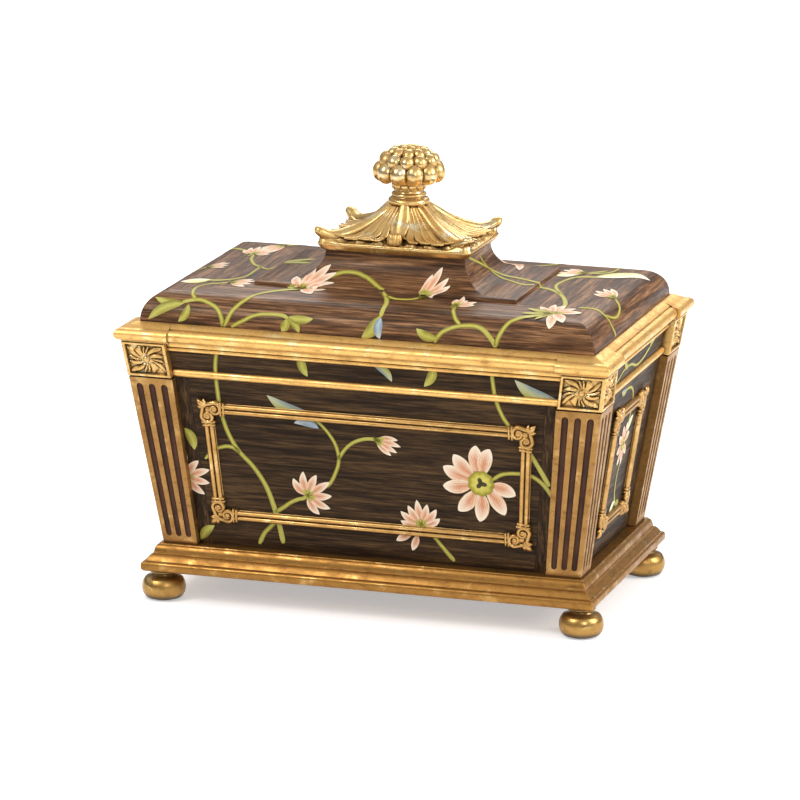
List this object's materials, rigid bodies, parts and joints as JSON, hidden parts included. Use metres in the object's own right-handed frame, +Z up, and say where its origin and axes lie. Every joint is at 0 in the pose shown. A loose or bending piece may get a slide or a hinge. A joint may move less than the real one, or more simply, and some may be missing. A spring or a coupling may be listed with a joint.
{
  "type": "hinged-lid casket",
  "caption": "Tapering rectangular casket with fluted corner pilasters, applied frames, bun feet and a hinged domed lid with a berry-knob finial.",
  "frame": {"origin": "centre of the footprint, on the surface under the feet", "axes": "+X along the front to the right, +Y towards the hinges at the back, +Z up"},
  "size_m": [0.34, 0.222, 0.3043],
  "materials": {
    "dark_wood": "streaky dark brown lacquer with painted vines",
    "gilt_wood": "antique gold leaf, rubbed to brown in the recesses",
    "gilt_casting": "cast resin with antique gold leaf",
    "lining_felt": "dark brown felt on board",
    "hinge_brass": "satin brass",
    "steel": "zinc plated"
  },
  "bodies": {
    "case": {"back_panel": "dark_wood", "base_board": "gilt_wood", "bun_feet": "gilt_wood", "floor_panel": "lining_felt", "frame_bars_back": "gilt_casting", "frame_bars_front": "gilt_casting", "frame_bars_left": "gilt_casting", "frame_bars_right": "gilt_casting", "frame_scrolls_back": "gilt_casting", "frame_scrolls_front": "gilt_casting", "frame_scrolls_left": "gilt_casting", "frame_scrolls_right": "gilt_casting", "front_panel": "dark_wood", "hinge_left_case_leaf": "hinge_brass", "hinge_rail": "dark_wood", "hinge_right_case_leaf": "hinge_brass", "left_panel": "dark_wood", "pilaster_back_left": "gilt_wood", "pilaster_back_right": "gilt_wood", "pilaster_front_left": "gilt_wood", "pilaster_front_right": "gilt_wood", "plinth_moulding_back": "gilt_wood", "plinth_moulding_front": "gilt_wood", "plinth_moulding_left": "gilt_wood", "plinth_moulding_right": "gilt_wood", "right_panel": "dark_wood", "rim_fillet_front": "gilt_wood", "rim_fillet_left": "gilt_wood", "rim_fillet_right": "gilt_wood", "rosette_block_back_left": "gilt_casting", "rosette_block_back_right": "gilt_casting", "rosette_block_front_left": "gilt_casting", "rosette_block_front_right": "gilt_casting", "waist_bead_back": "gilt_wood", "waist_bead_front": "gilt_wood", "waist_bead_left": "gilt_wood", "waist_bead_right": "gilt_wood"},
    "lid": {"cornice_back": "gilt_wood", "cornice_front": "gilt_wood", "cornice_left": "gilt_wood", "cornice_right": "gilt_wood", "finial_collar": "gilt_casting", "finial_knob": "gilt_casting", "finial_mount": "gilt_casting", "finial_rod": "steel", "hinge_left_lid_leaf": "hinge_brass", "hinge_right_lid_leaf": "hinge_brass", "lid_crown": "dark_wood", "lid_deck": "dark_wood", "lid_lining": "lining_felt", "rod_nut": "steel", "rod_washer": "steel"}
  },
  "joints": [
    {"name": "lid_hinge", "type": "hinge", "parent": "case", "child": "lid", "pos_m": [0, 0.1084, 0.18115], "axis": [-1, 0, 0], "range_deg": [0, 100]}
  ]
}
